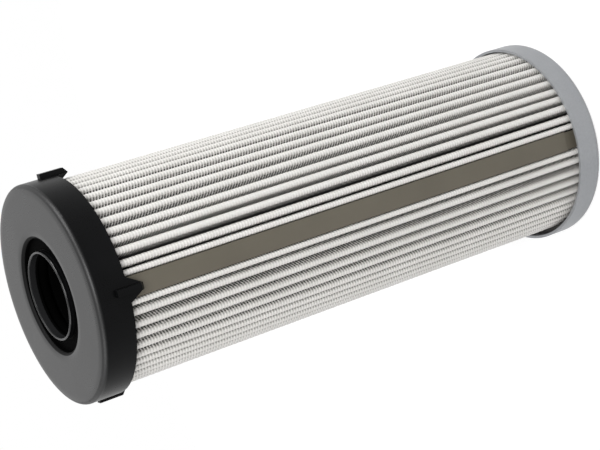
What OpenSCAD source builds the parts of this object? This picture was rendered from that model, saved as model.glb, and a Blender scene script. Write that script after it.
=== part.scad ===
// Pleated hydraulic filter element with an open end cap and a closed end cup.
// It stands on the closed end. +Z runs along the element towards the open end,
// and the pack's long seam faces -Y. All sizes are in millimetres.

/* [Element] */
// Overall length, from the closed end to the face of the open end
element_l = 195; // [100:5:400]
// Outer diameter of both end caps
cap_d = 70; // [66:0.5:90]
// Sideways shift of the closed end cup, as it was bonded on
cup_shift = 0.6; // [0:0.05:0.8]
// Clearance between bonded pieces that slide into each other
seat_clear = 0.05; // [0.03:0.01:0.15]

/* [Open end cap] */
// Depth of the skirt, from the face to the rear rim
skirt_l = 11.2; // [10:0.2:20]
// Wall of the skirt
skirt_wall = 1.4; // [0.8:0.1:2]
// Rounding of the outer front edge
face_edge_r = 1.4; // [0.4:0.1:2.4]
// Width of the gently curved band along both edges of the face
face_band_w = 2; // [0.5:0.1:3]
// Slope that the face reaches where the band ends, in degrees
face_band_a = 9; // [2:1:15]
// Thickness of the face plate
face_t = 3; // [2.8:0.1:5]
// Diameter of the recess round the collar, at its wall
recess_d = 36.4; // [34:0.2:40]
// Depth of the recess round the collar
recess_depth = 2.2; // [1.8:0.1:2.3]
// Rounding where the recess meets the face
recess_edge_r = 1.2; // [0.2:0.1:1.4]
// Wall of the collar's lip
lip_wall = 0.8; // [0.5:0.05:1.2]

/* [Collar and seal] */
// Diameter of the bore that seats the housing's spigot
bore_d = 26.8; // [24:0.1:28]
// Length of the guided bore, from the face to the end of the lower land
bore_l = 10; // [9.5:0.5:14]
// Thickness of the seal ring
seal_d = 3; // [2:0.1:3.2]
// How far the seal ring stands into the bore
seal_proud = 0.2; // [0.05:0.05:0.25]
// Axial play of the seal ring in its groove, on both sides together
seal_play = 1.2; // [0.4:0.1:1.6]
// Diameter of the hub's mouth inside the support tube
hub_mouth_d = 36.4; // [30:0.2:37]
// Length of the flare below the lower land
hub_flare_l = 4; // [2:0.5:8]

/* [Lugs] */
// Number of pointed lugs round the open end cap
lug_n = 4; // [2:1:8]
// Width of a lug's rib
lug_w = 2.2; // [1.2:0.1:4]
// Height of a lug's rib above the cap
lug_proud = 1.6; // [0.6:0.1:2.5]
// Distance from the face to the start of a rib
lug_setback = 6.9; // [4:0.1:8]
// Distance from the rear rim to the lug's point
lug_reach = 4.9; // [2:0.1:8]
// Width of the lug's tongue where it leaves the rear rim
lug_base_w = 7.8; // [4:0.2:12]
// Width of the tongue at the lug's point
lug_tip_w = 1.8; // [0.8:0.1:2.2]
// Length of the sloping end of a rib
lug_slope_l = 1.3; // [0.5:0.1:1.9]

/* [Closed end cup] */
// Height of the cup, from its base to its rim
cup_h = 9.8; // [7:0.2:20]
// Wall of the cup
cup_wall = 0.9; // [0.6:0.05:1.2]
// Outer rounding between the cup's base and its wall
cup_corner_r = 2.5; // [1.5:0.1:4]

/* [Bonding] */
// Depth of the adhesive bed in the open end cap
upper_bed_h = 4.5; // [2:0.1:6]
// Depth of the adhesive bed in the closed end cup
lower_bed_h = 5; // [2:0.1:5.8]

/* [Support tube] */
// Outer diameter of the support tube
tube_d = 42; // [40.5:0.5:44]
// Wall of the support tube
tube_wall = 1; // [0.6:0.1:1.2]
// Diameter of a hole in the support tube
hole_d = 7; // [3:0.5:9]
// Number of holes round the support tube
hole_n = 8; // [4:1:10]
// Distance between rings of holes
hole_pitch = 12; // [10:0.5:30]

/* [Pleated pack] */
// Number of pleats
pleat_n = 55; // [40:1:57]
// Clearance from the pleat tips to the inside of the skirt
pleat_clear = 0.5; // [0.3:0.05:0.8]
// Outer radius of a pleat tip
pleat_tip_r = 1.25; // [0.9:0.05:1.25]
// Outer radius of the two pleat tips beside the seam
seam_tip_r = 1; // [0.95:0.05:1.25]
// Radius of the pack's middle line in a pleat root
pleat_root_r = 0.55; // [0.5:0.01:0.6]
// Radius of the pack's middle line in the two roots beside the seam
seam_root_r = 0.8; // [0.7:0.05:1]
// Clearance from the pleat roots to the support tube
root_clear = 0.1; // [0.05:0.05:0.3]
// Thickness of the outer wire mesh
outer_mesh_t = 0.25; // [0.15:0.01:0.3]
// Thickness of the outer fleece
outer_fleece_t = 0.12; // [0.08:0.01:0.16]
// Thickness of the filter layer
media_t = 0.2; // [0.12:0.01:0.25]
// Thickness of the inner fleece
inner_fleece_t = 0.1; // [0.06:0.01:0.14]
// Thickness of the inner wire mesh
inner_mesh_t = 0.15; // [0.1:0.01:0.2]
// Clearance between two layers
layer_clear = 0.02; // [0.01:0.005:0.03]
// Uneven spacing that runs round the pack in five half waves, in degrees
bunch_long = 1.1; // [0:0.1:1.4]
// Uneven spacing that runs round the pack in four half waves, in degrees
bunch_short = 0.85; // [0:0.05:1]
// How far single pleat tips lean to one side, in degrees
tip_lean = 0.3; // [0:0.01:0.5]
// How far the clip pushes the pleat tips beside the seam away from it, in degrees
seam_push = 1.2; // [0:0.1:1.4]

/* [Seam clip] */
// Width of the clip's flat outer face
clip_w = 6.8; // [5:0.1:9]
// Thickness of the clip's metal
clip_t = 0.4; // [0.25:0.05:0.5]
// How far the clip's face lies below the pleat tips
clip_sink = 0.8; // [0.4:0.1:1.5]
// Depth of the clip's two legs
clip_leg_l = 4.5; // [2:0.1:6]
// Distance from the cup's rim to the end of the clip's flat face
clip_end_gap = 2.7; // [0.5:0.1:8]
// Clearance between the clip and the pack
clip_clear = 0.1; // [0.05:0.01:0.15]
// Clearance between the two end leaves
leaf_gap = 0.1; // [0.04:0.02:0.2]

/* [Hidden] */
$fn = 96;
band_steps = 6;
tip_steps = 7;
root_steps = 4;
cut = 1;

// Open end cap
cap_r = cap_d / 2;
rim_z = element_l - skirt_l;
plate_z = element_l - face_t;
skirt_inner_r = cap_r - skirt_wall;
recess_r = recess_d / 2;
recess_z = element_l - recess_depth;

// Gently curved bands of the face: their radius, their drop, and where each one leaves the flat
band_r = face_band_w / sin(face_band_a);
band_drop = band_r * (1 - cos(face_band_a));
face_flat_r = cap_r - face_edge_r * (1 - sin(face_band_a)) - face_band_w;
recess_flat_r = recess_r + recess_edge_r * (1 - sin(face_band_a)) + face_band_w;
face_round_z = element_l - band_drop - face_edge_r * cos(face_band_a);
recess_round_z = element_l - band_drop - recess_edge_r * cos(face_band_a);

// Collar, gland and hub
bore_r = bore_d / 2;
lip_r = bore_r + lip_wall;
seal_centre_r = bore_r - seal_proud + seal_d / 2;
gland_r = bore_r - seal_proud + seal_d + 2 * seat_clear;
gland_h = seal_d + seal_play;
gland_z = plate_z - gland_h;
land_z = element_l - bore_l;
hub_z = land_z - hub_flare_l;
hub_r = tube_d / 2 - tube_wall - 4 * seat_clear;

// Lugs
lug_r = cap_r + lug_proud;
lug_start_z = element_l - lug_setback;
lug_tip_z = rim_z - lug_reach;
tongue_inner_r = skirt_inner_r + seat_clear;
tongue_edge = 0.2;

// Closed end cup and adhesive beds
cup_inner_r = cap_r - cup_wall;
cup_inner_corner_r = cup_corner_r - cup_wall;
lower_bed_z = cup_wall + lower_bed_h;
upper_bed_z = plate_z - upper_bed_h;

// Support tube
tube_r = tube_d / 2;
tube_l = plate_z - cup_wall;
hole_room = upper_bed_z - lower_bed_z - hole_pitch;
hole_rows = floor(hole_room / hole_pitch) + 1;

// Pleated pack. The middle line runs through the pack's half thickness.
pack_t = outer_mesh_t + outer_fleece_t + media_t + inner_fleece_t + inner_mesh_t + 4 * layer_clear;
tip_top_r = skirt_inner_r - pleat_clear;
root_floor_r = tube_r + root_clear;
root_centre_r = root_floor_r + pack_t / 2 + pleat_root_r;
seam_root_centre_r = root_floor_r + pack_t / 2 + seam_root_r;
leaf_y = (pack_t + leaf_gap) / 2;
clip_face_r = tip_top_r - clip_sink;
leaf_end_r = clip_face_r - 2 * clip_t - clip_clear;
first_tip = asin((clip_w / 2 + clip_clear + seam_tip_r) / (tip_top_r - seam_tip_r));
row_start = first_tip - seam_push;
pleat_pitch = (360 - 2 * row_start) / (pleat_n - 1);

// Seam clip
clip_leg_y = leaf_y + pack_t / 2 + clip_clear;
clip_edge_y = clip_w / 2 - clip_t;
clip_plate_z = cup_h + clip_end_gap;

// Layers, from the outside to the inside, as distances from the middle line
outer_mesh_u = pack_t / 2;
outer_fleece_u = outer_mesh_u - outer_mesh_t - layer_clear;
media_u = outer_fleece_u - outer_fleece_t - layer_clear;
inner_fleece_u = media_u - media_t - layer_clear;
inner_mesh_u = inner_fleece_u - inner_fleece_t - layer_clear;

// Plane geometry of the pleats, with the seam along +X
function polar(r, a) = [r * cos(a), r * sin(a)];
function bearing(v) = atan2(v[1], v[0]);
function full_turn(a) = a - 360 * floor(a / 360);
function arc(centre, r, start, sweep, steps) =
    [for (k = [0:steps]) centre + polar(r, start + sweep * k / steps)];
function bunch(u) = bunch_short * sin(720 * u / (pleat_n - 1)) - bunch_long * sin(900 * u / (pleat_n - 1));
function pleat_angle(u) = row_start + pleat_pitch * u + bunch(u);

// Signs of the pleats and roots beside the seam: 1 at the start, -1 at the end, 0 elsewhere
function seam_tip(i) = i == 0 ? 1 : i == pleat_n - 1 ? -1 : 0;
function seam_root(i) = i == 1 ? 1 : i == pleat_n - 1 ? -1 : 0;

function lean(i) =
    seam_tip(i) == 0 ? tip_lean * (0.88 * sin(49 * i) - sin(112 * i)) : seam_push * seam_tip(i);
function tip_r(i) = seam_tip(i) == 0 ? pleat_tip_r : seam_tip_r;
function tip_line_r(i) = tip_r(i) - pack_t / 2;
function tip_centre(i) = polar(tip_top_r - tip_r(i), pleat_angle(i) + lean(i));
function seam_root_centre(side) =
    let (y = leaf_y + seam_root_r) [sqrt(pow(seam_root_centre_r, 2) - y * y), side * y];
function root_centre(i) =
    i == 0 ? seam_root_centre(1) :
    i == pleat_n ? seam_root_centre(-1) :
    polar(root_centre_r, pleat_angle(i - 0.5) + seam_push / 2 * seam_root(i));
function root_line_r(i) = i == 0 || i == pleat_n ? seam_root_r : pleat_root_r;

// Outward normals of the two flanks of a pleat
function flank_tilt(v, tip, root) = 90 + asin((tip_line_r(tip) + root_line_r(root)) / norm(v));
function lead_normal(i) = let (v = tip_centre(i) - root_centre(i)) bearing(v) - flank_tilt(v, i, i);
function trail_normal(i) =
    let (v = tip_centre(i) - root_centre(i + 1)) bearing(v) + flank_tilt(v, i, i + 1);
function root_start(i) = i == 0 ? 270 : trail_normal(i - 1) + 180;
function root_stop(i) = i == pleat_n ? 90 : lead_normal(i) + 180;

function root_arc(i, u) =
    arc(root_centre(i), root_line_r(i) - u, root_start(i), -full_turn(root_start(i) - root_stop(i)), root_steps);
function tip_arc(i, u) =
    arc(tip_centre(i), tip_line_r(i) + u, lead_normal(i), full_turn(trail_normal(i) - lead_normal(i)), tip_steps);

// One face of a layer, at the distance u from the middle line
function face_points(u) = concat(
    [[leaf_end_r, leaf_y + u]],
    [for (i = [0:pleat_n - 1]) each concat(root_arc(i, u), tip_arc(i, u))],
    root_arc(pleat_n, u),
    [[leaf_end_r, -leaf_y - u]]);
function reversed(points) = [for (k = [len(points) - 1:-1:0]) points[k]];

// Turns a shape from +X to the side where the seam faces
module face_seam() {
    rotate([0, 0, -90]) children();
}

module pleated_layer(u, t) {
    face_seam()
        translate([0, 0, lower_bed_z])
            linear_extrude(height = upper_bed_z - lower_bed_z)
                polygon(concat(face_points(u), reversed(face_points(u - t))));
}

// Half section of a disc with one rounded lower edge
module rounded_disc(r, h, edge_r) {
    translate([0, edge_r]) square([r, h - edge_r]);
    square([r - edge_r, h]);
    translate([r - edge_r, edge_r]) circle(edge_r);
}

// A gently curved band of the face, from the flat outwards (side 1) or inwards (side -1)
function face_band(flat_r, side) =
    arc([flat_r, element_l - band_r], band_r, 90, -side * face_band_a, band_steps);

// Half section of the open end cap's solid disc
module cap_disc_section() {
    polygon(concat([[0, element_l], [0, rim_z], [cap_r, rim_z], [cap_r, face_round_z],
                    [cap_r - face_edge_r, face_round_z]],
                   reversed(face_band(face_flat_r, 1))));
    translate([cap_r - face_edge_r, face_round_z]) circle(face_edge_r);
}

// Half section of what the recess takes away
module recess_section() {
    translate([0, recess_z]) square([recess_r, recess_depth + cut]);
    difference() {
        polygon(concat([[recess_r + recess_edge_r, recess_round_z], [recess_r, recess_round_z],
                        [recess_r, element_l + cut], [recess_flat_r, element_l + cut]],
                       face_band(recess_flat_r, -1)));
        translate([recess_r + recess_edge_r, recess_round_z]) circle(recess_edge_r);
    }
}

// Half section of the open end cap
module open_cap_section() {
    difference() {
        union() {
            cap_disc_section();
            translate([0, hub_z]) square([hub_r, plate_z - hub_z]);
        }
        translate([hub_r, rim_z - cut]) square([skirt_inner_r - hub_r, plate_z - rim_z + cut]);
        translate([0, hub_z - cut]) square([bore_r, element_l - hub_z + 2 * cut]);
        translate([0, gland_z]) square([gland_r, gland_h]);
        polygon([[0, hub_z - cut], [hub_mouth_d / 2, hub_z - cut], [hub_mouth_d / 2, hub_z],
                 [bore_r, land_z], [0, land_z]]);
        recess_section();
    }
    translate([bore_r, plate_z]) square([lip_wall, face_t - lip_wall / 2]);
    translate([bore_r + lip_wall / 2, element_l - lip_wall / 2]) circle(lip_wall / 2);
}

// One pointed lug, on the +X side: a rib, and a tongue that carries it past the rim
module lug() {
    rotate([90, 0, 0])
        linear_extrude(height = lug_w, center = true)
            polygon([[skirt_inner_r + skirt_wall / 2, lug_start_z],
                     [lug_r, lug_start_z],
                     [lug_r, lug_tip_z + lug_slope_l],
                     [cap_r, lug_tip_z],
                     [skirt_inner_r + skirt_wall / 2, lug_tip_z + lug_slope_l]]);
    intersection() {
        rotate_extrude()
            polygon([[tongue_inner_r, rim_z + cut],
                     [cap_r, rim_z + cut],
                     [cap_r, lug_tip_z],
                     [cap_r - tongue_edge, lug_tip_z],
                     [tongue_inner_r, lug_tip_z + 2 * lug_slope_l]]);
        rotate([90, 0, 90])
            linear_extrude(height = lug_r)
                polygon([[-lug_base_w / 2, rim_z + cut],
                         [-lug_base_w / 2, rim_z],
                         [-lug_tip_w / 2, lug_tip_z],
                         [lug_tip_w / 2, lug_tip_z],
                         [lug_base_w / 2, rim_z],
                         [lug_base_w / 2, rim_z + cut]]);
    }
}

module open_end_cap() {
    color([0.1, 0.1, 0.11]) {
        rotate_extrude() open_cap_section();
        for (k = [0:lug_n - 1])
            rotate([0, 0, -90 + 360 * k / lug_n]) lug();
    }
}

module bore_seal() {
    color([0.06, 0.06, 0.06])
        translate([0, 0, gland_z + gland_h / 2])
            rotate_extrude()
                translate([seal_centre_r, 0]) circle(seal_d / 2);
}

// All the holes of the support tube, every other ring turned by half a step
module tube_holes() {
    for (row = [0:hole_rows - 1], k = [0:hole_n - 1])
        translate([0, 0, (upper_bed_z + lower_bed_z) / 2 + (row - (hole_rows - 1) / 2) * hole_pitch])
            rotate([0, 90, 360 / hole_n * (k + (row % 2) / 2)])
                translate([0, 0, tube_r - 2 * tube_wall])
                    cylinder(h = 3 * tube_wall, d = hole_d);
}

module support_tube() {
    color([0.7, 0.71, 0.73])
        difference() {
            translate([0, 0, cup_wall]) cylinder(h = tube_l, r = tube_r);
            translate([0, 0, cup_wall - cut]) cylinder(h = tube_l + 2 * cut, r = tube_r - tube_wall);
            tube_holes();
        }
}

module outer_mesh() {
    color([0.86, 0.85, 0.82]) pleated_layer(outer_mesh_u, outer_mesh_t);
}

module outer_fleece() {
    color([0.93, 0.92, 0.9]) pleated_layer(outer_fleece_u, outer_fleece_t);
}

module filter_media() {
    color([0.95, 0.94, 0.88]) pleated_layer(media_u, media_t);
}

module inner_fleece() {
    color([0.92, 0.92, 0.9]) pleated_layer(inner_fleece_u, inner_fleece_t);
}

module inner_mesh() {
    color([0.75, 0.75, 0.74]) pleated_layer(inner_mesh_u, inner_mesh_t);
}

// Section of one layer of the clip's flat face, with the seam along +X
module clip_layer_section(layers) {
    translate([clip_face_r - 2 * clip_t, -clip_edge_y]) square([layers * clip_t, 2 * clip_edge_y]);
}

// Section of the clip's flat face, folded over on itself
module clip_plate_section() {
    clip_layer_section(2);
    for (side = [-1, 1])
        translate([clip_face_r - clip_t, side * clip_edge_y]) circle(clip_t);
}

// Section of the two legs that hold the end leaves together
module clip_leg_section() {
    for (side = [0, 1])
        mirror([0, side])
            translate([clip_face_r - clip_t - clip_leg_l, clip_leg_y]) square([clip_leg_l, clip_t]);
}

module seam_clip() {
    color([0.42, 0.39, 0.33])
        face_seam() {
            translate([0, 0, clip_plate_z])
                linear_extrude(height = upper_bed_z - clip_plate_z) clip_plate_section();
            translate([0, 0, lower_bed_z])
                linear_extrude(height = clip_plate_z - lower_bed_z) clip_layer_section(1);
            translate([0, 0, lower_bed_z])
                linear_extrude(height = upper_bed_z - lower_bed_z) clip_leg_section();
        }
}

module upper_potting() {
    color([0.24, 0.22, 0.2])
        translate([0, 0, upper_bed_z])
            difference() {
                cylinder(h = upper_bed_h, r = skirt_inner_r - seat_clear);
                translate([0, 0, -cut]) cylinder(h = upper_bed_h + 2 * cut, r = tube_r + seat_clear);
            }
}

module lower_potting() {
    color([0.24, 0.22, 0.2])
        difference() {
            translate([-cup_shift, 0, cup_wall])
                rotate_extrude() rounded_disc(cup_inner_r - seat_clear, lower_bed_h, cup_inner_corner_r);
            cylinder(h = lower_bed_z + cut, r = tube_r + seat_clear);
        }
}

module closed_end_cap() {
    color([0.64, 0.65, 0.66])
        translate([-cup_shift, 0, 0])
            rotate_extrude()
                difference() {
                    rounded_disc(cap_r, cup_h, cup_corner_r);
                    translate([0, cup_wall]) rounded_disc(cup_inner_r, cup_h, cup_inner_corner_r);
                }
}

open_end_cap();
bore_seal();
support_tube();
outer_mesh();
outer_fleece();
filter_media();
inner_fleece();
inner_mesh();
seam_clip();
upper_potting();
lower_potting();
closed_end_cap();
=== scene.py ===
import math

import bpy
import numpy as np
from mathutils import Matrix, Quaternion, Vector


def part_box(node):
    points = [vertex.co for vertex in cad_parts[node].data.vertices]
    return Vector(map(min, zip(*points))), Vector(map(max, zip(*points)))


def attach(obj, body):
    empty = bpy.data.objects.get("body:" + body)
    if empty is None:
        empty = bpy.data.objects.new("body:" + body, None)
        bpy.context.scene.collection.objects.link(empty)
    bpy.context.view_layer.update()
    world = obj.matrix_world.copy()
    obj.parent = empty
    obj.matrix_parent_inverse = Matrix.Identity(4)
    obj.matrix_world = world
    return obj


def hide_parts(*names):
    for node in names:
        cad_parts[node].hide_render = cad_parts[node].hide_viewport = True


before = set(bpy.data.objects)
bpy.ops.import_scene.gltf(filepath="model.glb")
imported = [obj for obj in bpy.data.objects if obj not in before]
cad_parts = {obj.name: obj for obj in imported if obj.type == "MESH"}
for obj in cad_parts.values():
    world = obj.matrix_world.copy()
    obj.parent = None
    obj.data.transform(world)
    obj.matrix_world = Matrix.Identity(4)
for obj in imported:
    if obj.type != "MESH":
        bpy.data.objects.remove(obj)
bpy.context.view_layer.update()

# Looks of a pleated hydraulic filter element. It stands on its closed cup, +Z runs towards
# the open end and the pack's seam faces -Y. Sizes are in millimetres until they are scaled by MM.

MM = 0.001

# ---------------------------------------------------------------- sizes of the pleated pack
PLEAT_COUNT = 55
TIP_TOP_R = 33.1          # tops of the pleat tips
TIP_R = 1.25              # outer radius of a tip
SEAM_TIP_R = 1.0          # outer radius of the two tips beside the seam
PACK_T = 0.9              # thickness of the folded pack
ROOT_R = 0.55             # middle line of a root
SEAM_ROOT_R = 0.8         # middle line of the two roots beside the seam
ROOT_FLOOR_R = 21.1       # the roots' lowest points
LEAF_GAP = 0.1            # between the two end leaves
CLIP_W = 6.8              # the seam clip's flat face
CLIP_T = 0.4
CLIP_CLEAR = 0.1
CLIP_SINK = 0.8           # from the tips down to the clip's face
MESH_T = 0.25             # the outer wire mesh
BUNCH_LONG, BUNCH_SHORT = 1.1, 0.85   # uneven spacing round the pack, degrees
TIP_LEAN = 0.3            # how far single tips lean, degrees
SEAM_PUSH = 1.2           # how far the clip pushes the tips beside the seam, degrees

# ---------------------------------------------------------------- sizes of the open end cap
CAP_R = 35.0
FACE_Z = 195.0            # the face of the open end
RECESS_R = 18.2
LIP_R = 14.2              # outside of the collar's thin lip
BORE_R = 13.4

# ---------------------------------------------------------------- the pleats' path
root_centre_r = ROOT_FLOOR_R + PACK_T / 2 + ROOT_R
seam_root_centre_r = ROOT_FLOOR_R + PACK_T / 2 + SEAM_ROOT_R
leaf_y = (PACK_T + LEAF_GAP) / 2
leaf_end_r = TIP_TOP_R - CLIP_SINK - 2 * CLIP_T - CLIP_CLEAR
first_tip = math.degrees(math.asin((CLIP_W / 2 + CLIP_CLEAR + SEAM_TIP_R) / (TIP_TOP_R - SEAM_TIP_R)))
row_start = first_tip - SEAM_PUSH
pleat_pitch = (360 - 2 * row_start) / (PLEAT_COUNT - 1)


def sin_deg(a):
    return math.sin(math.radians(a))


def polar(r, a):
    return np.array([r * math.cos(math.radians(a)), r * math.sin(math.radians(a))])


def bearing(v):
    return math.degrees(math.atan2(v[1], v[0]))


def pleat_angle(u):
    """Bearing of pleat u, with the seam along +X, unevenly spaced as in the photo."""
    turn = 360 * u / (PLEAT_COUNT - 1)
    bunch = BUNCH_SHORT * sin_deg(2 * turn) - BUNCH_LONG * sin_deg(2.5 * turn)
    return row_start + pleat_pitch * u + bunch


def seam_side(i, first):
    """1 for the pleat or root next to the seam at the start, -1 for the one at the end, else 0."""
    return 1 if i == first else -1 if i == PLEAT_COUNT - 1 else 0


def tip_line_r(i):
    return (SEAM_TIP_R if seam_side(i, 0) else TIP_R) - PACK_T / 2


def tip_centre(i):
    side = seam_side(i, 0)
    lean = SEAM_PUSH * side if side else TIP_LEAN * (0.88 * sin_deg(49 * i) - sin_deg(112 * i))
    return polar(TIP_TOP_R - tip_line_r(i) - PACK_T / 2, pleat_angle(i) + lean)


def root_centre(i):
    if i in (0, PLEAT_COUNT):
        y = leaf_y + SEAM_ROOT_R
        return np.array([math.sqrt(seam_root_centre_r ** 2 - y * y), y if i == 0 else -y])
    return polar(root_centre_r, pleat_angle(i - 0.5) + SEAM_PUSH / 2 * seam_side(i, 1))


def root_line_r(i):
    return SEAM_ROOT_R if i in (0, PLEAT_COUNT) else ROOT_R


def flank_normal(i, root, side):
    """Outward normal of one flank of pleat i, on the side of that root."""
    v = tip_centre(i) - root_centre(root)
    tilt = 90 + math.degrees(math.asin((tip_line_r(i) + root_line_r(root)) / np.linalg.norm(v)))
    return bearing(v) + side * tilt


TIP_STEPS, ROOT_STEPS = 8, 6
FLANK_RIBS = (0.0, 0.8, 1.0, 1.0, 1.0)   # strength of the ribs on a flank's woven columns, from the depth up
FLANK_STEP = 0.55         # between two of these columns
CREST_EASE = 0.85         # how much weaker the ribs are on the crest of a tip


def arc_columns(centre, r, start, sweep, steps, hollow):
    """Columns of the sheet on an arc: middle line, outward normal and strength of the ribs."""
    found = []
    for k in range(steps + 1):
        ray = polar(1, start + sweep * k / steps)
        rib = None if hollow else 1 - CREST_EASE * math.sqrt(abs(math.sin(math.pi * k / steps)))
        found.append((centre + r * ray, -ray if hollow else ray, rib))
    return found


def root_columns(i):
    start = 270 if i == 0 else flank_normal(i - 1, i, 1) + 180
    stop = 90 if i == PLEAT_COUNT else flank_normal(i, i, -1) + 180
    return arc_columns(root_centre(i), root_line_r(i), start, -((start - stop) % 360), ROOT_STEPS, True)


def tip_columns(i):
    lead, trail = flank_normal(i, i, -1), flank_normal(i, i + 1, 1)
    tip = arc_columns(tip_centre(i), tip_line_r(i), lead, (trail - lead) % 360, TIP_STEPS, False)
    sides = []
    for angle, turn, end in ((lead, 90, tip[0]), (trail, -90, tip[-1])):
        inward = -polar(1, angle + turn)
        sides.append([(end[0] + inward * FLANK_STEP * (len(FLANK_RIBS) - k), polar(1, angle), rib)
                      for k, rib in enumerate(FLANK_RIBS)])
    return sides[0] + tip + sides[1][::-1]


def sheet_columns(first, last):
    """Columns of the sheet over the pleats from first up to last, cut in the middle of a root."""
    middle = ROOT_STEPS // 2
    columns = root_columns(first)[0 if first == 0 else middle:]
    if first == 0:
        columns.insert(0, (np.array([leaf_end_r, leaf_y]), np.array([0.0, 1.0]), None))
    for i in range(first, last):
        columns += tip_columns(i)
        columns += root_columns(i + 1)[:None if i < last - 1 or last == PLEAT_COUNT else middle + 1]
    if last == PLEAT_COUNT:
        columns.append((np.array([leaf_end_r, -leaf_y]), np.array([0.0, -1.0]), None))
    return columns


# ---------------------------------------------------------------- building materials
class Graph:
    """Adds nodes to one material or world and wires them."""

    def __init__(self, owner):
        owner.use_nodes = True
        self.owner = owner
        self.tree = owner.node_tree

    @classmethod
    def material(cls, name):
        return cls(bpy.data.materials.new(name))

    def node(self, kind, **settings):
        n = self.tree.nodes.new(kind)
        for key, value in settings.items():
            setattr(n, key, value)
        return n

    def put(self, socket, value):
        if isinstance(value, bpy.types.NodeSocket):
            self.tree.links.new(value, socket)
        else:
            socket.default_value = value

    def math(self, operation, *values, clamp=False):
        n = self.node("ShaderNodeMath", operation=operation, use_clamp=clamp)
        for socket, value in zip(n.inputs, values):
            self.put(socket, value)
        return n.outputs[0]

    def place(self):
        """Place on the object in metres, in the CAD frame."""
        return self.node("ShaderNodeTexCoord").outputs["Object"]

    def background_rays(self):
        """1 for each ray that shows the white background: direct, mirrored or through glass."""
        path = self.node("ShaderNodeLightPath")
        camera, glossy, through = [path.outputs[f"Is {kind} Ray"] for kind in ("Camera", "Glossy", "Transmission")]
        return self.math("MAXIMUM", self.math("MAXIMUM", camera, glossy), through)

    def noise(self, scale, detail=2.0, roughness=0.5):
        n = self.node("ShaderNodeTexNoise")
        self.put(n.inputs["Vector"], self.place())
        self.put(n.inputs["Scale"], scale)
        self.put(n.inputs["Detail"], detail)
        self.put(n.inputs["Roughness"], roughness)
        return n.outputs["Fac"]

    def span(self, value, low, high, to_low=0.0, to_high=1.0, smooth=False):
        n = self.node("ShaderNodeMapRange", interpolation_type="SMOOTHSTEP" if smooth else "LINEAR")
        for socket, v in zip(n.inputs, (value, low, high, to_low, to_high)):
            self.put(socket, v)
        return n.outputs[0]

    def zone(self, value, start, full, to_start=0.0, to_full=1.0):
        """Goes from 0 to 1 between two places, both in millimetres."""
        return self.span(value, start * MM, full * MM, to_start, to_full)

    def where_all(self, *masks):
        """The product of several masks."""
        found = masks[0]
        for mask in masks[1:]:
            found = self.math("MULTIPLY", found, mask)
        return found

    def mix(self, factor, first, second):
        n = self.node("ShaderNodeMix", data_type="RGBA")
        self.put(n.inputs[0], factor)
        self.put(n.inputs[6], (*first, 1) if isinstance(first, tuple) else first)
        self.put(n.inputs[7], (*second, 1) if isinstance(second, tuple) else second)
        return n.outputs[2]

    def bump(self, height, distance, strength):
        n = self.node("ShaderNodeBump")
        self.put(n.inputs["Height"], height)
        self.put(n.inputs["Distance"], distance)
        self.put(n.inputs["Strength"], strength)
        return n.outputs["Normal"]

    def finish(self, **sockets):
        """Sets the sockets of a material's shader, named with _ for a space."""
        shader = self.tree.nodes["Principled BSDF"]
        for key, value in sockets.items():
            name = key.replace("_", " ")
            self.put(shader.inputs[name], (*value, 1) if isinstance(value, tuple) else value)
        return self.owner


def axis_distance(g):
    """Distance from the element's axis and height above its base, in metres."""
    part = g.node("ShaderNodeSeparateXYZ")
    g.put(part.inputs[0], g.place())
    x, y, z = part.outputs
    return g.math("SQRT", g.math("ADD", g.math("MULTIPLY", x, x), g.math("MULTIPLY", y, y))), z


# ---------------------------------------------------------------- weave of the wire meshes
def weave_height(g, across, along, weft_w, warp_w, sway):
    """Height from 0 to 1 of a plain weave. across counts warp wires, along counts weft wires."""
    fu = g.math("SUBTRACT", g.math("FRACT", across), 0.5)
    fv = g.math("SUBTRACT", g.math("FRACT", along), 0.5)
    cells = g.math("ADD", g.math("FLOOR", across), g.math("FLOOR", along))
    side = g.math("SUBTRACT", 1.0, g.math("MULTIPLY", g.math("MODULO", cells, 2.0), 2.0))

    def wire(offset, width, run, sign):
        ratio = g.math("DIVIDE", offset, width)
        crown = g.math("SQRT", g.math("SUBTRACT", 1.0, g.math("MULTIPLY", ratio, ratio), clamp=True))
        lift = g.math("MULTIPLY", g.math("COSINE", g.math("MULTIPLY", run, math.pi)), sign * sway)
        lift = g.math("MULTIPLY_ADD", lift, side, 1.0 - sway)
        return g.math("MULTIPLY", crown, lift)

    return g.math("MAXIMUM", wire(fv, weft_w, fu, 1.0), wire(fu, warp_w, fv, -1.0))


WEFT_PITCH = 1.012        # wires that run across the pleats
RIB_DEPTH = 0.19          # from a wire's crown down to the gap between two wires
UNDER = 0.6               # how much lower a wire lies where it passes under, as a share of that
LEAST_RIB = 0.7           # a wire that passes under lies at least this share of UNDER deeper
SHALLOW_GAP = 0.85        # depth of the gap beside a wire that passes under
INNER_PITCH = 0.6         # wires of the inner mesh


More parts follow.
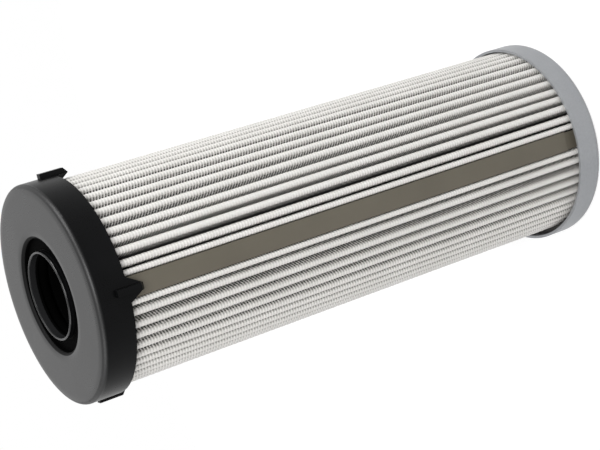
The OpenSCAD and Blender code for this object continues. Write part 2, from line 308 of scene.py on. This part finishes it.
def wire_mesh_material():
    g = Graph.material("outer_wire_mesh")
    uv = g.node("ShaderNodeSeparateXYZ")
    g.put(uv.inputs[0], g.node("ShaderNodeUVMap", uv_map="weave").outputs[0])
    relief = weave_height(g, uv.outputs[0], uv.outputs[1], 0.27, 0.06, 0.25)
    wire = g.span(relief, 0.05, 0.7, smooth=True)
    r, _ = axis_distance(g)
    # painted shade: from the crest down the flank the gaps between wires are painted darker; this mask also
    # strengthens the ribs' bump there
    flank = g.zone(r, TIP_TOP_R - 0.08, TIP_TOP_R - 0.6)
    # painted shade: lower down the flank the gaps between wires are painted nearly black
    painted_gap_shade = g.zone(r, TIP_TOP_R - 0.8, TIP_TOP_R - 1.5)
    # painted light: wires a little way down the flank are painted paler, standing in for light that reaches them
    painted_flank_light = g.zone(r, TIP_TOP_R - 0.6, TIP_TOP_R - 1.6)
    # painted shade: wires deep in the valleys between pleats are painted dark
    deep_shade = g.zone(r, TIP_TOP_R - 3.0, TIP_TOP_R - 5.0)
    cloud = g.span(g.noise(70.0, 4.0, 0.6), 0.35, 0.65)
    metal = g.mix(cloud, (0.69, 0.673, 0.646), (0.77, 0.752, 0.73))
    metal = g.mix(painted_flank_light, metal, (0.90, 0.88, 0.85))
    metal = g.mix(deep_shade, metal, (0.12, 0.115, 0.105))
    # the gaps show the fleece's own colour at the crest, with painted shade further down the flank
    gap = g.mix(flank, (0.62, 0.605, 0.58), (0.37, 0.36, 0.34))
    gap = g.mix(painted_gap_shade, gap, (0.02, 0.019, 0.018))
    return g.finish(
        Base_Color=g.mix(wire, gap, metal),
        Metallic=0.15,
        Roughness=g.span(g.noise(1500.0), 0.3, 0.7, 0.38, 0.50),
        Normal=g.bump(relief, 0.1 * MM, g.span(flank, 0.0, 1.0, 0.2, 0.5)),
    )


def black_plastic_material():
    """Satin black plastic, duller on the cap's side, with painted shade that makes the recess, its rounded edge and
    the bore nearly black, and a painted sheen at the top of the bore's wall.
    """
    g = Graph.material("moulded_black")
    r, z = axis_distance(g)
    grain = g.noise(2600.0, 3.0, 0.6)
    worn = g.span(g.noise(55.0, 4.0, 0.6), 0.35, 0.75)

    below_edge = g.zone(z, FACE_Z - 0.7, FACE_Z - 1.1)
    recess = g.where_all(below_edge, g.zone(r, LIP_R - 0.1, LIP_R + 0.1), g.zone(r, RECESS_R + 2.4, RECESS_R + 2.2))
    bore = g.where_all(g.zone(r, BORE_R + 0.5, BORE_R + 0.3), g.zone(z, FACE_Z - 2.1, FACE_Z - 2.3))
    # painted sheen: the top of the bore's wall is painted a lighter grey, with little shine of its own
    mouth_sheen = g.where_all(g.zone(r, BORE_R + 0.15, BORE_R + 0.05), g.zone(z, FACE_Z - 2.3, FACE_Z - 2.1))
    # painted shade on the recess's rounded edge, which is also made duller, blending into the black of the recess
    recess_edge_shade = g.where_all(
        g.zone(z, FACE_Z - 0.15, FACE_Z - 0.25),
        g.zone(r, RECESS_R + 1.5, RECESS_R + 1.2),
        g.zone(r, RECESS_R - 0.6, RECESS_R - 0.4),
    )
    outer_edge = g.where_all(g.zone(r, CAP_R - 1.4, CAP_R - 0.8), g.zone(z, FACE_Z - 1.6, FACE_Z - 1.1))
    # painted shade: the recess and the bore are painted nearly black, and made matte with little shine
    deep_shade = g.math("MAXIMUM", recess, bore)
    lip = g.where_all(g.zone(r, LIP_R + 0.1, LIP_R), g.math("SUBTRACT", 1.0, deep_shade))
    deep_shade = g.math("MAXIMUM", deep_shade, g.math("MULTIPLY", recess_edge_shade, 0.8))

    satin = g.math("ADD", g.span(grain, 0.3, 0.7, 0.25, 0.31), g.math("MULTIPLY", worn, 0.05))
    satin = g.math("MULTIPLY_ADD", outer_edge, 0.14, satin)
    satin = g.math("MULTIPLY", satin, g.span(lip, 0.0, 1.0, 1.0, 0.7))
    shine = g.math("MINIMUM", g.zone(z, FACE_Z - 1.8, FACE_Z - 0.6, 0.07, 0.43), g.span(mouth_sheen, 0.0, 1.0, 0.5, 0.1))
    tone = g.mix(worn, (0.0020, 0.0021, 0.0023), (0.0032, 0.0033, 0.0036))
    # painted shade in the recess, on its rounded edge and in the bore
    tone = g.mix(deep_shade, tone, (0.0005, 0.0005, 0.0005))
    return g.finish(
        # painted sheen at the top of the bore's wall
        Base_Color=g.mix(mouth_sheen, tone, (0.012, 0.0122, 0.0127)),
        Roughness=g.math("MAXIMUM", satin, g.math("MULTIPLY", deep_shade, 0.8)),
        Specular_IOR_Level=g.math("MINIMUM", shine, g.span(deep_shade, 0.0, 1.0, 0.5, 0.02)),
        Normal=g.bump(grain, 0.002 * MM, g.span(lip, 0.0, 1.0, 0.5, 0.0)),
    )


def clip_material():
    g = Graph.material("clip_metal")
    drift = g.noise(35.0, 4.0, 0.55)
    fine = g.noise(900.0, 2.0)
    tone = g.mix(g.span(drift, 0.3, 0.7), (0.088, 0.078, 0.058), (0.111, 0.099, 0.075))
    return g.finish(
        Base_Color=tone,
        Metallic=0.2,
        Roughness=g.span(drift, 0.3, 0.7, 0.5, 0.62),
        Normal=g.bump(fine, 0.02 * MM, 0.4),
    )


def cup_material():
    g = Graph.material("cup_metal")
    speckle = g.noise(1400.0, 3.0, 0.7)
    cloud = g.noise(60.0, 4.0, 0.6)
    tone = g.mix(g.span(cloud, 0.3, 0.7), (0.245, 0.253, 0.265), (0.278, 0.286, 0.298))
    tone = g.mix(g.span(speckle, 0.35, 0.75), tone, (0.304, 0.312, 0.324))
    return g.finish(
        Base_Color=tone,
        Metallic=0.6,
        Roughness=g.span(speckle, 0.3, 0.7, 0.42, 0.55),
        Normal=g.bump(speckle, 0.015 * MM, 0.5),
    )


def plain_material(name, low, high, roughness, metallic=0.0, scale=300.0, relief=0.02, shine=0.5):
    """A finish with a drifting tone and a fine grain."""
    g = Graph.material(name)
    grain = g.noise(scale, 3.0, 0.6)
    return g.finish(
        Base_Color=g.mix(g.span(g.noise(scale / 8, 3.0), 0.3, 0.7), low, high),
        Metallic=metallic,
        Roughness=g.span(grain, 0.3, 0.7, roughness - 0.05, roughness + 0.05),
        Specular_IOR_Level=shine,
        Normal=g.bump(grain, relief * MM, 0.5),
    )


def inner_mesh_material():
    """Square wire mesh, laid out by height and bearing, which runs round the roots."""
    g = Graph.material("inner_wire_mesh")
    part = g.node("ShaderNodeSeparateXYZ")
    g.put(part.inputs[0], g.place())
    x, y, z = part.outputs
    across = g.math("MULTIPLY", g.math("ARCTAN2", y, x), ROOT_FLOOR_R / INNER_PITCH)
    along = g.math("MULTIPLY", z, 1 / (INNER_PITCH * MM))
    relief = weave_height(g, across, along, 0.36, 0.36, 0.3)
    return g.finish(
        Base_Color=g.mix(g.span(relief, 0.0, 0.7), (0.08, 0.08, 0.08), (0.55, 0.55, 0.54)),
        Metallic=0.8,
        Roughness=g.span(g.noise(900.0), 0.3, 0.7, 0.35, 0.45),
        Normal=g.bump(relief, 0.12 * MM, 0.8),
    )


# ---------------------------------------------------------------- the pleated wire mesh
SECTORS = 5
OUTER_STRIP = (0.0, 0.9)   # where the outer side starts in the bake map, and its height
INNER_STRIP = (0.92, 0.08)


def woven_depth(column, rows, rib):
    """How far the weave's surface lies below its crowns, for each row of one column."""
    row = np.arange(rows)
    over = (row // 2 + column // 2) % 2 == 0
    crown = np.where(over, 0.0, UNDER * max(rib, LEAST_RIB))
    gap = np.where(over, 1.0, SHALLOW_GAP) * rib
    depth = np.where(row % 2 == 0, crown, gap) * RIB_DEPTH
    depth[[0, -1]] = 0
    return depth


def pleated_sector(name, node, first, last, material):
    """One part of the outer wire mesh as a closed sheet. Each weft wire is a rib across the tips."""
    low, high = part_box(node)
    columns = sheet_columns(first, last)
    rows = 2 * round((high.z - low.z) / MM / WEFT_PITCH) + 1
    woven_z = np.linspace(low.z, high.z, rows)
    ends_z = woven_z[[0, -1]]
    points, outer, inner, weave, bake = [], [], [], [], []

    middle = np.array([c[0] for c in columns])
    run = np.concatenate([[0], np.cumsum(np.linalg.norm(np.diff(middle, axis=0), axis=1))])
    woven = [k for k, c in enumerate(columns) if c[2] is not None]
    warp = np.interp(run, run[woven], np.arange(len(woven)) / 2 + 0.25)

    def add(k, u, z, strip):
        """Adds the points of column k at heights z, u above the middle line, and returns their numbers."""
        centre, normal, _ = columns[k]
        flat = (centre + normal * np.reshape(u, (-1, 1))) * MM
        start = sum(len(p) for p in points)
        points.append(np.column_stack([flat[:, 1] + 0 * z, -flat[:, 0] + 0 * z, z]))
        height = (z - low.z) / (high.z - low.z)
        weave.append(np.column_stack([np.full(len(z), warp[k]), height * (rows - 1) / 2 + 0.5]))
        bake.append(np.column_stack([np.full(len(z), run[k] / run[-1]), strip[0] + height * strip[1]]))
        return np.arange(start, start + len(z))

    for k, (_, _, rib) in enumerate(columns):
        z = ends_z if rib is None else woven_z
        sunk = 0 * z if rib is None else woven_depth(woven.index(k), rows, rib)
        outer.append(add(k, PACK_T / 2 - sunk, z, OUTER_STRIP))
    for k in range(len(columns)):
        inner.append(add(k, PACK_T / 2 - MESH_T + 0 * ends_z, ends_z, INNER_STRIP))

    faces = []
    for k in range(len(columns) - 1):
        a, b, c, d = outer[k], outer[k + 1], inner[k], inner[k + 1]
        if len(a) == len(b):
            faces += np.column_stack([a[:-1], b[:-1], b[1:], a[1:]]).tolist()
        else:
            faces.append([a[0], *b.tolist(), *a[:0:-1].tolist()])
        faces.append([c[0], c[1], d[1], d[0]])
        faces += [[a[0], c[0], d[0], b[0]], [a[-1], b[-1], d[1], c[1]]]
    for k, turn in ((0, 1), (-1, -1)):
        a, c = outer[k], inner[k]
        faces.append([a[0], a[-1], c[1], c[0]][::turn])

    mesh = bpy.data.meshes.new(name)
    mesh.from_pydata(np.concatenate(points).tolist(), [], faces)
    corner = np.empty(len(mesh.loops), int)
    mesh.loops.foreach_get("vertex_index", corner)
    for layer, values in (("OFBake", bake), ("weave", weave)):
        mesh.uv_layers.new(name=layer).data.foreach_set("uv", np.concatenate(values)[corner].ravel())
    mesh.shade_smooth()
    mesh.materials.append(material)
    piece = bpy.data.objects.new(name, mesh)
    bpy.context.scene.collection.objects.link(piece)
    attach(piece, "root")
    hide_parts(node)


wire_mesh = wire_mesh_material()
for sector in range(SECTORS):
    span = [PLEAT_COUNT * (sector + k) // SECTORS for k in (0, 1)]
    pleated_sector(f"pleated_wire_mesh_{sector + 1}", "outer_mesh", *span, wire_mesh)

# ---------------------------------------------------------------- finishes of the CAD nodes
finishes = {
    "open_end_cap": black_plastic_material(),
    "bore_seal": plain_material(
        "seal_rubber", (0.0003, 0.0003, 0.0003), (0.0006, 0.0006, 0.0006), 0.9, shine=0.01),
    "support_tube": plain_material(
        "tube_steel", (0.42, 0.425, 0.43), (0.50, 0.505, 0.51), 0.36, metallic=0.9),
    "outer_fleece": plain_material(
        "fleece", (0.62, 0.60, 0.56), (0.72, 0.70, 0.66), 0.9, scale=900.0, relief=0.05),
    "filter_media": plain_material(
        "glass_media", (0.80, 0.78, 0.70), (0.88, 0.86, 0.78), 0.9, scale=1200.0, relief=0.05),
    "inner_fleece": plain_material(
        "inner_fleece", (0.75, 0.74, 0.72), (0.84, 0.83, 0.81), 0.9, scale=900.0, relief=0.05),
    "inner_mesh": inner_mesh_material(),
    "seam_clip": clip_material(),
    "upper_potting": plain_material("adhesive", (0.012, 0.011, 0.010), (0.03, 0.028, 0.024), 0.45),
    "closed_end_cap": cup_material(),
}
finishes["lower_potting"] = finishes["upper_potting"]
for name, material in finishes.items():
    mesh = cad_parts[name].data
    mesh.materials.clear()
    mesh.materials.append(material)

# ---------------------------------------------------------------- floor
FLOOR_R = 0.40
FLOOR_SIDES = 96
turns = [2 * math.pi * k / FLOOR_SIDES for k in range(FLOOR_SIDES)]
floor_mesh = bpy.data.meshes.new("floor")
floor_mesh.from_pydata([(FLOOR_R * math.cos(t), FLOOR_R * math.sin(t), 0) for t in turns], [], [range(FLOOR_SIDES)])
floor = bpy.data.objects.new("floor", floor_mesh)
bpy.context.scene.collection.objects.link(floor)

# It looks white and still shows the element's shadow, but throws little light back on it.
g = Graph.material("pale_floor")
g.tree.nodes.remove(g.tree.nodes["Principled BSDF"])
paper = g.node("ShaderNodeBsdfDiffuse")
g.put(paper.inputs["Color"], (0.25, 0.25, 0.25, 1))
white = g.node("ShaderNodeBsdfDiffuse")
g.put(white.inputs["Color"], (0.40, 0.40, 0.40, 1))
lift = g.node("ShaderNodeEmission")
g.put(lift.inputs["Strength"], 0.65)
both = g.node("ShaderNodeAddShader")
g.put(both.inputs[0], white.outputs[0])
g.put(both.inputs[1], lift.outputs[0])
choice = g.node("ShaderNodeMixShader")
g.put(choice.inputs[0], g.background_rays())
g.put(choice.inputs[1], paper.outputs[0])
g.put(choice.inputs[2], both.outputs[0])
g.put(g.tree.nodes["Material Output"].inputs["Surface"], choice.outputs[0])
floor_mesh.materials.append(g.owner)

# ---------------------------------------------------------------- light
# The world looks white too. The light that it sheds is soft, and comes mostly from behind.
g = Graph(bpy.data.worlds.new("studio"))
bpy.context.scene.world = g.owner
way = g.node("ShaderNodeSeparateXYZ")
g.put(way.inputs[0], g.node("ShaderNodeTexCoord").outputs["Generated"])
x, y, z = way.outputs
behind = g.math("MULTIPLY_ADD", x, -0.156, g.math("MULTIPLY", y, 0.988))
sweep = g.span(behind, -0.55, 0.85, 0.08, 1.0, smooth=True)    # weak in front, strong behind
high = g.span(z, 0.44, 0.62, 1.0, 0.35, smooth=True)           # weaker high up
low = g.span(z, 0.02, 0.33, 0.45, 1.0, smooth=True)            # and near the floor
crown = g.span(z, 0.92, 0.985, 0.0, 1.3, smooth=True)          # a soft light straight above
level = g.math("ADD", g.where_all(sweep, high, low), crown)
seen = g.background_rays()
back = g.tree.nodes["Background"]
g.put(back.inputs["Strength"], g.math("MULTIPLY_ADD", level, g.math("SUBTRACT", 1.0, seen), seen))
g.put(back.inputs["Color"], (1, 1, 1, 1))


LAMP_AIM = Vector((0, 0, 0.1))


def soft_box(name, azimuth, elevation, distance, size, watts):
    """A square lamp that looks at the element's middle. Azimuth 0 is +X, 90 is +Y."""
    a, e = math.radians(azimuth), math.radians(elevation)
    way = Vector((math.cos(a) * math.cos(e), math.sin(a) * math.cos(e), math.sin(e)))
    light = bpy.data.lights.new(name, "AREA")
    light.size, light.energy = size, watts
    lamp = bpy.data.objects.new(name, light)
    lamp.location = LAMP_AIM + way * distance
    lamp.rotation_mode = "QUATERNION"
    lamp.rotation_quaternion = (-way).to_track_quat("-Z", "Y")
    bpy.context.scene.collection.objects.link(lamp)


soft_box("key", azimuth=-8, elevation=32, distance=0.8, size=0.55, watts=5.8)
soft_box("fill", azimuth=-150, elevation=30, distance=0.8, size=0.6, watts=3.2)
soft_box("front", azimuth=-78, elevation=40, distance=1.0, size=0.5, watts=8.0)

# ---------------------------------------------------------------- camera
CAMERA_PLACE = Vector((71.65, -457.57, 363.06)) * MM
CAMERA_AIM = Vector((-3.52, -0.58, 104.03)) * MM
CAMERA_ROLL = 108.45      # degrees: the photo shows the element on its side
LENS, SENSOR = 96.03, 36  # millimetres

camera = bpy.data.objects.new("camera", bpy.data.cameras.new("camera"))
camera.data.lens = LENS
camera.data.sensor_width = SENSOR
camera.location = CAMERA_PLACE
camera.rotation_mode = "QUATERNION"
upright = (CAMERA_AIM - CAMERA_PLACE).to_track_quat("-Z", "Y")
camera.rotation_quaternion = upright @ Quaternion((0, 0, 1), -math.radians(CAMERA_ROLL))
bpy.context.scene.collection.objects.link(camera)
bpy.context.scene.camera = camera
bpy.context.scene.view_settings.view_transform = "Standard"
